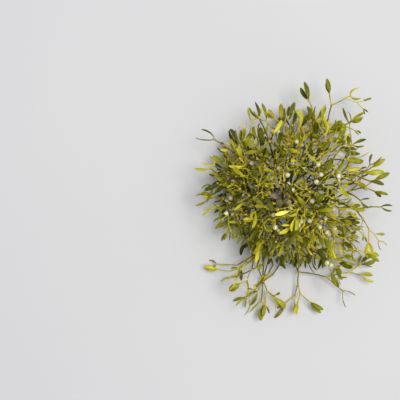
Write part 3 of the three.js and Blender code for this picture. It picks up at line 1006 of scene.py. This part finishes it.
def leaf_material():
    """Waxy leather: olive to lime by leaf and darker near the hub with painted shade, a yellow foot, parallel
    veins that show paler and stand proud.
    """
    leather = Finish(
        "waxy_leaf", 70, 1500,
        Specular_IOR_Level=0.22,
        Subsurface_Weight=0.2,
        Subsurface_Scale=0.0012,
        Subsurface_Radius=(0.9, 1.0, 0.35),
    )
    uneven = leather.maths("MULTIPLY_ADD", leather.patches, 0.22, -0.11)
    # The tone attribute also carries painted shade: leaves near the hub take the darker end of the ramp.
    green = leather.ramp(
        leather.maths("ADD", leather.attribute("tone"), uneven, clamp=True),
        (0.0, (0.024, 0.028, 0.002)),
        (0.25, (0.086, 0.096, 0.005)),
        (0.5, (0.284, 0.280, 0.012)),
        (0.75, (0.560, 0.515, 0.030)),
        (1.0, (0.740, 0.690, 0.110)),
    )
    wave = leather.maths("COSINE", leather.maths("MULTIPLY", leather.attribute("across"), VEIN_PHASE))
    vein = leather.span(wave, in_From_Min=0.72, in_From_Max=1.0)
    veined = leather.mix(leather.maths("MULTIPLY", vein, 0.14), green, VEIN_GREEN)
    foot = leather.span(leather.attribute("along"), in_From_Min=0.16, in_From_Max=0.0)
    color = leather.mix(leather.maths("MULTIPLY", foot, 0.7), veined, ROOT_YELLOW)
    fine = leather.maths("MULTIPLY", leather.grain, 0.35)
    height = leather.maths("ADD", leather.maths("MULTIPLY", vein, 0.8), fine)
    return leather.finish(color, (0.36, 0.56), height, 0.5, 0.00025)


def stem_material():
    """Green stems, yellower when young and darker near the hub with painted shade, that turn orange and brown
    where they swell into nodes.
    """
    skin = Finish("green_stem", 120, 1800, Specular_IOR_Level=0.2)
    uneven = skin.maths("MULTIPLY_ADD", skin.patches, 0.3, -0.15)
    # The age attribute also carries painted shade: stems near the hub take the darker end of the ramps.
    aged = skin.maths("ADD", skin.attribute("age"), uneven)
    young = skin.maths("ADD", aged, skin.maths("MULTIPLY", skin.attribute("tone"), 0.3), clamp=True)
    green = skin.ramp(
        young,
        (0.0, (0.030, 0.032, 0.006)),
        (0.4, (0.080, 0.082, 0.008)),
        (0.75, (0.220, 0.210, 0.012)),
        (1.0, (0.480, 0.440, 0.022)),
    )
    knot = skin.ramp(
        young,
        (0.0, (0.150, 0.098, 0.016)),
        (0.4, (0.420, 0.275, 0.016)),
        (1.0, (0.740, 0.540, 0.030)),
    )
    color = skin.mix(skin.maths("MULTIPLY", skin.attribute("node"), 0.85), green, knot)
    return skin.finish(color, (0.45, 0.68), skin.grain, 0.5, 0.0003)


def berry_material():
    """Pearly skin over clear pulp, with a small brown scar at the far end."""
    pearl = Finish(
        "pearly_berry", 160, 1200,
        Subsurface_Weight=0.45,
        Subsurface_Scale=0.004,
        Subsurface_Radius=(1.0, 0.9, 0.6),
        Coat_Weight=0.25,
        Coat_Roughness=0.2,
    )
    skin = pearl.mix(pearl.patches, (0.52, 0.48, 0.31), (0.70, 0.66, 0.48))
    mark = pearl.span(pearl.attribute("scar"), in_From_Min=0.25, in_From_Max=0.6)
    color = pearl.mix(mark, skin, (0.10, 0.065, 0.03))
    return pearl.finish(color, (0.24, 0.4), pearl.grain, 0.2, 0.0001)


RING_WAVES = 6500.0  # growth rings of the wood, in radians a metre
CUT_DEPTH = (-0.0009, -0.0004)  # metres along the cut's axis, over which bark gives way to bare wood


def bark_material(cut_at, cut_axis):
    """Wrinkled grey-brown bark with green patches, and a pale cut face with rings around its middle."""
    bark = Finish("old_bark", 130, 900, Specular_IOR_Level=0.2)
    crust = bark.ramp(
        bark.patches,
        (0.0, (0.150, 0.120, 0.075)),
        (0.45, (0.360, 0.310, 0.215)),
        (0.8, (0.520, 0.470, 0.350)),
        (1.0, (0.400, 0.390, 0.190)),
    )
    place = bark.add("ShaderNodeTexCoord").outputs["Object"]
    offset = bark.vectors("SUBTRACT", "Vector", place, cut_at)
    depth = bark.vectors("DOT_PRODUCT", "Value", offset, cut_axis)
    is_cut = bark.span(depth, in_From_Min=CUT_DEPTH[0], in_From_Max=CUT_DEPTH[1])
    reach = bark.vectors("LENGTH", "Value", offset)
    rings = bark.maths("SINE", bark.maths("MULTIPLY", reach, RING_WAVES))
    wood = bark.mix(bark.maths("MULTIPLY_ADD", rings, 0.3, 0.5), (0.62, 0.52, 0.33), (0.45, 0.34, 0.18))
    color = bark.mix(is_cut, crust, wood)
    return bark.finish(color, (0.68, 0.92), bark.grain, 0.8, 0.0006)


def floor_material():
    """Matt pale paper with the faintest unevenness."""
    paper = Finish("pale_floor", 2, 300, Roughness=0.85)
    color = paper.mix(paper.patches, (0.538, 0.536, 0.539), (0.550, 0.548, 0.551))
    paper.join(color, paper.bsdf.inputs["Base Color"])
    return paper.material


# ---- the pieces

CORE_SHADE_FADE = 160  # millimetres over which the painted shade of the core fades, outwards from the hub
# Least lightness of stems and of leaves at the hub: painted shade in the bunch's core
STEM_CORE_SHADE = 0.15
LEAF_CORE_SHADE = 0.2
RIM = {"start": 90, "width": 60, "evenness": 0.55, "tone": 0.46}
PAIR_TONE = (0.8, 0.92)  # shape of the spread of tones: most are near one end or the other
LEAF_STRAY = 0.09
LEAST_TONE = 0.05

STEM_AGES = 6.0  # generations to the youngest colour
TWIG_YOUTH = 0.1
STEM_BOW = 0.035  # of its length
STEM_FLARE = 1.06
TWIG_TAPER = 0.94

BUD_LEANS = ((0.0, 1.0), (0.8, 0.8), (-0.8, 0.8))  # how far each leans, and its size
BUD_SIZES = (0.85, 1.2)
BUD_TONES = (0.4, 1)
BUD = {"out": 2.2, "radius": 1.05, "length": 1.7}

STALK = {"cup": 1.0, "foot": 0.8, "tone": 0.6, "age": 0.8, "gap": 0.1}  # its two radii come first
MORE_BERRY_RADII = (3.5, 4.2)


def hub_distance(points):
    return np.linalg.norm(points - hub, axis=1)


def painted_core_shade(points, least):
    """Painted shade in the bunch's core: how light growth is, a least value plus its distance from the hub
    over the fade length, and at most 1.
    """
    return np.clip(least + hub_distance(points) / CORE_SHADE_FADE, 0, 1)


def stem_arrays(stems):
    """Start, end, side, bow, radii, tone and age of stems, as arrays. The age also carries painted shade,
    darker towards the hub.
    """
    count = len(stems)
    start, end, side, is_twig = (column(stems, key) for key in ("start", "end", "side", "is_twig"))
    radius = np.array(SHOOT_RADIUS)
    youngest = len(radius) - 1
    generation = np.minimum(column(stems, "generation"), youngest)
    thick = np.where(is_twig, TWIG_RADIUS, radius[generation]) * STEM_FLARE
    thin = np.where(is_twig, TWIG_RADIUS * TWIG_TAPER, radius[np.minimum(generation + 1, youngest)])
    length = np.linalg.norm(end - start, axis=1)
    bow = normalised(rng.normal(size=(count, 3))) * (length * STEM_BOW)[:, None]
    tone = rng.uniform(0, 1, count)
    # Stems darken towards the hub with painted shade, carried in their age.
    age = np.clip(generation / STEM_AGES + is_twig * TWIG_YOUTH, 0, 1) * painted_core_shade(end, STEM_CORE_SHADE)
    return start, end, side, bow, thin, thick, tone, age


def stalk_arrays(fruits):
    """Short stalks between forks and berries, which widen into a cup under the berry."""
    fork = np.array([shoot.end for shoot, _ in fruits])
    centre = np.array([at for _, at in fruits])
    axis = normalised(centre - fork)
    end = centre - axis * (BERRY_RADIUS + STALK["gap"])
    side = normalised(np.cross(axis, UP) + 1e-6)
    values = (np.full(len(fruits), STALK[key]) for key in ("cup", "foot", "tone", "age"))
    return fork, end, side, side * 0, *values


def add_tip_buds(batch, tips):
    """A bud between the two leaves of each tip, with a smaller one on either side of it."""
    end, heading, side = (column(tips, key) for key in ("end", "heading", "side"))
    across = np.cross(heading, side)
    size = rng.uniform(*BUD_SIZES, len(tips))
    tone = rng.uniform(*BUD_TONES, len(tips))
    for lean, share in BUD_LEANS:
        axis = normalised(heading + across * lean)
        centre = end + axis * (BUD["out"] * size * share)[:, None]
        add_buds(batch, centre, axis, side, BUD["radius"] * size * share, BUD["length"] * size * share, tone)


def leaf_tones_and_core_shade(leaves):
    """How light each leaf is, by its pair's tone and a little of its own.

    Towards the rim the tones draw together around one tone, and towards the hub they all darken: painted
    shade in the bunch's core.
    """
    foot = np.array([leaf.shoot.end for leaf in leaves])
    pairs = {id(leaf.shoot): rng.beta(*PAIR_TONE) for leaf in leaves}
    tone = np.array([pairs[id(leaf.shoot)] for leaf in leaves])
    tone = tone + rng.uniform(-LEAF_STRAY, LEAF_STRAY, len(leaves))
    rim = RIM["evenness"] * np.clip((hub_distance(foot) - RIM["start"]) / RIM["width"], 0, 1)
    # Leaves darken towards the hub: painted shade in the bunch's core.
    return (LEAST_TONE + tone * (1 - rim) + RIM["tone"] * rim) * painted_core_shade(foot, LEAF_CORE_SHADE)


def limb_pieces(node, own, fruits):
    """The stems, stalks and buds of a limb as one piece, and its leaves as another."""
    stems = Batch()
    add_stems(stems, *stem_arrays(own))
    if fruits:
        add_stems(stems, *stalk_arrays(fruits))
    add_tip_buds(stems, [shoot for shoot in own if not shoot.children and not shoot.twigs])
    stems.piece(f"{node}_stems", STEM, "green", [node])
    leaves = [leaf for shoot in own for leaf in shoot.leaves]
    blades = Batch()
    add_leaves(blades, leaves, leaf_tones_and_core_shade(leaves))
    blades.piece(f"{node}_leaves", LEAF, "green", [node])


def fruit_piece(name, fruits, radii, nodes):
    batch = Batch()
    forks = np.array([shoot.end for shoot, _ in fruits])
    add_fruit(batch, forks, np.array([at for _, at in fruits]), radii)
    batch.piece(name, PEARL, "berry", nodes)


LEAF = leaf_material()
STEM = stem_material()
PEARL = berry_material()

for number, root in enumerate(roots, 1):
    own = [shoot for shoot in shoots + twigs if shoot.limb == root.limb]
    fruits = [fruit for fruit in berries + more_berries if fruit[0].limb == root.limb]
    limb_pieces(f"limb_{number:02d}", own, fruits)

for number, fruit in enumerate(berries, 1):
    fruit_piece(f"berry_{number:02d}_fruit", [fruit], np.array([BERRY_RADIUS]), [f"berry_{number:02d}"])
fruit_piece("more_berries", more_berries, rng.uniform(*MORE_BERRY_RADII, len(more_berries)), [])

MELT_VOXEL = 0.0009
MELT_ROUNDS = 6
WRINKLE = 0.16  # millimetres


def wrinkles(points):
    """A sum of three sine waves of the place in millimetres, one of them bent by a fourth."""
    x, y, z = (points / MM).T
    return np.sin(x * 0.9 + 1.7 * np.sin(y * 0.35)) + np.sin(z * 1.1 + y * 0.6) + np.sin((x + z) * 1.9 + y)


def vertex_values(vertices, key):
    values = np.zeros(len(vertices) * 3, np.float32)
    vertices.foreach_get(key, values)
    return values.reshape(-1, 3).astype(float)


def melted_base():
    """The base's solid, remeshed in small voxels and smoothed, so that its knuckles melt into one lump."""
    mesh = bpy.data.objects["woody_base"].data.copy()
    lump = linked("woody_base_bark", mesh)
    shape = bmesh.new()
    shape.from_mesh(mesh)
    bmesh.ops.remove_doubles(shape, verts=shape.verts, dist=1e-6)
    shape.to_mesh(mesh)
    shape.free()
    remesh = lump.modifiers.new("melt", "REMESH")
    remesh.mode = "VOXEL"
    remesh.voxel_size = MELT_VOXEL
    smooth = lump.modifiers.new("smooth", "SMOOTH")
    smooth.factor = 0.5
    smooth.iterations = MELT_ROUNDS
    bpy.context.view_layer.update()
    melted = bpy.data.meshes.new_from_object(lump.evaluated_get(bpy.context.evaluated_depsgraph_get()))
    bpy.data.objects.remove(lump)
    return melted


def woody_base():
    """The melted base, with each vertex moved along its normal by the wrinkle there."""
    melted = melted_base()
    points = vertex_values(melted.vertices, "co")
    normals = vertex_values(melted.vertices, "normal")
    points = points + normals * (wrinkles(points) * WRINKLE * MM)[:, None]
    melted.vertices.foreach_set("co", points.astype(np.float32).reshape(-1))
    melted.polygons.foreach_set("use_smooth", np.ones(len(melted.polygons), bool))
    melted.materials.clear()
    melted.update()
    start, end, _ = base_stems()[-1]
    material = bark_material(tuple(placed(end)), tuple(unit(end - start)))
    finished("woody_base_bark", melted, material, ["woody_base"])


woody_base()

# ---- floor, light and camera, in metres

FLOOR_HALF = 5.0
LIGHT_AIM = (0.0, 0.0, 0.08)  # the middle of the bunch
WINDOW = {"at": (0.34, 0.20, 2.9), "size": 0.9, "power": 63, "color": (1.0, 0.99, 0.97)}
ROOM_COLOR = (0.93, 0.95, 1.0, 1)
ROOM_STRENGTH = 0.495
CAMERA_AT = (-0.1553, 0.005, 1.5)  # it looks straight down, and the bunch lies to the right of its axis
CAMERA_LENS = 75

floor_mesh = bpy.data.meshes.new("floor")
corners = [(x * FLOOR_HALF, y * FLOOR_HALF, 0) for x, y in ((-1, -1), (1, -1), (1, 1), (-1, 1))]
floor_mesh.from_pydata(corners, [], [(0, 1, 2, 3)])
floor_mesh.materials.append(floor_material())
linked("floor", floor_mesh)

window_light = bpy.data.lights.new("window", "AREA")
window_light.size = WINDOW["size"]
window_light.energy = WINDOW["power"]
window_light.color = WINDOW["color"]
window = linked("window", window_light)
window.location = WINDOW["at"]
window.rotation_mode = "QUATERNION"
window.rotation_quaternion = (Vector(LIGHT_AIM) - Vector(WINDOW["at"])).to_track_quat("-Z", "Y")

world = bpy.data.worlds.new("soft_room")
world.use_nodes = True
background = world.node_tree.nodes["Background"]
background.inputs["Color"].default_value = ROOM_COLOR
background.inputs["Strength"].default_value = ROOM_STRENGTH
scene.world = world
scene.view_settings.view_transform = "Standard"
scene.view_settings.look = "Medium High Contrast"

camera_data = bpy.data.cameras.new("camera")
camera_data.lens = CAMERA_LENS
camera_data.sensor_width = 36
scene.camera = linked("camera", camera_data)
scene.camera.location = CAMERA_AT

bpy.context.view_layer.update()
